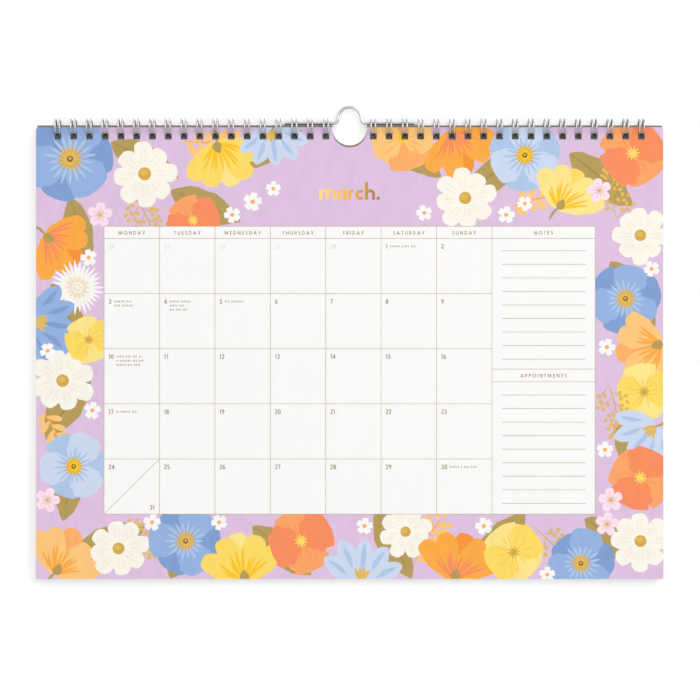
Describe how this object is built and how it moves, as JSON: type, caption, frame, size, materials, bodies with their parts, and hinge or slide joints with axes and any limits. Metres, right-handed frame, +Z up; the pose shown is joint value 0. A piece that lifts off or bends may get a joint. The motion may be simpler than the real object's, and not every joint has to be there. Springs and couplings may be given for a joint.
{
  "type": "wall calendar",
  "caption": "Landscape wall calendar: a punched month leaf and further leaves on a stiff board, wire-bound along the top, with a hanging loop in a thumb notch.",
  "frame": {"origin": "where the nail bears: the underside of the hanger's arch, in the plane of the hanger wire", "axes": "+X right as seen from the front, along the binding; +Y back, into the wall; +Z up"},
  "size_m": [0.3366, 0.0095, 0.2543],
  "materials": {
    "hanger_wire": "bright zinc-plated wire",
    "binding_wire": "nylon-coated bright silver wire",
    "printed_paper": "uncoated paper with a lilac floral print round a white day grid",
    "page_paper": "uncoated white paper",
    "board": "plain grey board",
    "cover_card": "matt white card"
  },
  "bodies": {
    "hanger": {"hanger_wire": "hanger_wire"},
    "binding": {"left_binding_wire": "binding_wire", "right_binding_wire": "binding_wire"},
    "board": {"back_board": "board"},
    "month_block": {"later_months_block": "page_paper"},
    "showing_month": {"march_leaf": "printed_paper"},
    "turned_stack": {"front_cover": "cover_card", "turned_months": "page_paper"}
  },
  "joints": [
    {"name": "hanger_turn", "type": "hinge", "parent": "hanger", "child": "binding", "pos_m": [0, 0, -0.008], "axis": [1, 0, 0], "continuous": true},
    {"name": "board_turn", "type": "hinge", "parent": "binding", "child": "board", "pos_m": [0, -0.00229, -0.00983], "axis": [-1, 0, 0], "range_deg": [0, 180]},
    {"name": "block_turn", "type": "hinge", "parent": "board", "child": "month_block", "pos_m": [0, -0.00229, -0.00983], "axis": [-1, 0, 0], "range_deg": [0, 180]},
    {"name": "month_turn", "type": "hinge", "parent": "month_block", "child": "showing_month", "pos_m": [0, -0.00229, -0.00983], "axis": [-1, 0, 0], "range_deg": [0, 180]},
    {"name": "turned_stack_swing", "type": "hinge", "parent": "binding", "child": "turned_stack", "pos_m": [0, 0.00044, -0.01316], "axis": [1, 0, 0], "range_deg": [0, 15]}
  ]
}
